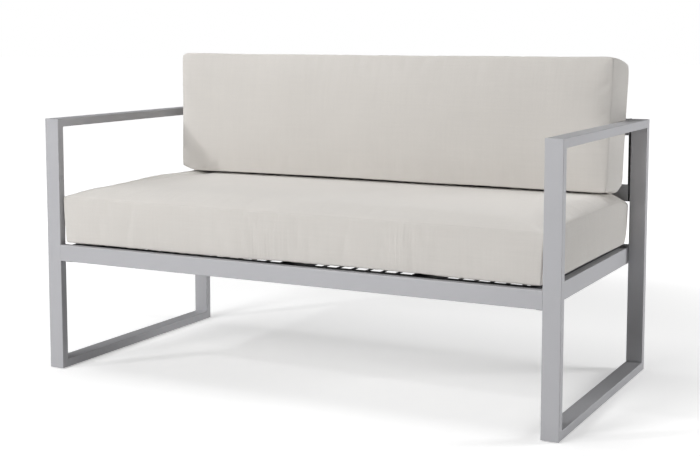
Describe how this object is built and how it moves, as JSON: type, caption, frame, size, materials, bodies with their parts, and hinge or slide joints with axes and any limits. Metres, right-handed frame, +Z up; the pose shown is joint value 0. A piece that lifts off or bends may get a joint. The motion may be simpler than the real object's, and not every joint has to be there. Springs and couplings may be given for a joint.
{
  "type": "patio loveseat",
  "caption": "Patio loveseat with rectangular tube side loops, an open bar deck and loose boxed seat and back cushions.",
  "frame": {"origin": "on the floor, under the middle of the frame", "axes": "+Z up, +Y to the back of the seat, +X to the right as seen from the front"},
  "size_m": [1.32, 0.66, 0.7774],
  "materials": {
    "frame_paint": "satin silver powder coat",
    "deck_paint": "satin black powder coat",
    "screw_steel": "plain stainless",
    "spigot_metal": "mill finish",
    "glide_plastic": "moulded nylon",
    "cover_fabric": "plain woven outdoor polyester",
    "cushion_foam": "open cell foam"
  },
  "bodies": {
    "frame": {"left_front_leg": "frame_paint", "left_rear_leg": "frame_paint", "left_arm": "frame_paint", "left_runner": "frame_paint", "right_front_leg": "frame_paint", "right_rear_leg": "frame_paint", "right_arm": "frame_paint", "right_runner": "frame_paint", "front_rail": "frame_paint", "rear_rail": "frame_paint", "left_side_rail": "frame_paint", "right_side_rail": "frame_paint", "left_cross_tube": "deck_paint", "middle_cross_tube": "deck_paint", "right_cross_tube": "deck_paint", "left_outer_grid": "deck_paint", "left_inner_grid": "deck_paint", "right_inner_grid": "deck_paint", "right_outer_grid": "deck_paint", "back_top_rail": "frame_paint", "back_low_rail": "frame_paint", "left_back_plate": "deck_paint", "right_back_plate": "deck_paint", "seat_frame_screws": "screw_steel", "back_frame_screws": "screw_steel", "back_frame_washers": "screw_steel", "rivet_nuts": "screw_steel", "rail_spigots": "spigot_metal", "left_front_glide": "glide_plastic", "left_rear_glide": "glide_plastic", "right_front_glide": "glide_plastic", "right_rear_glide": "glide_plastic"},
    "seat_cushion": {"seat_cushion_cover": "cover_fabric", "seat_cushion_foam": "cushion_foam"},
    "back_cushion": {"back_cushion_cover": "cover_fabric", "back_cushion_foam": "cushion_foam"}
  },
  "joints": [
    {"name": "seat_cushion_pull", "type": "slide", "parent": "frame", "child": "seat_cushion", "axis": [0, -1, 0], "range_m": [0, 0.3]},
    {"name": "back_cushion_lift", "type": "slide", "parent": "frame", "child": "back_cushion", "axis": [0, 0, 1], "range_m": [0, 0.2]}
  ]
}
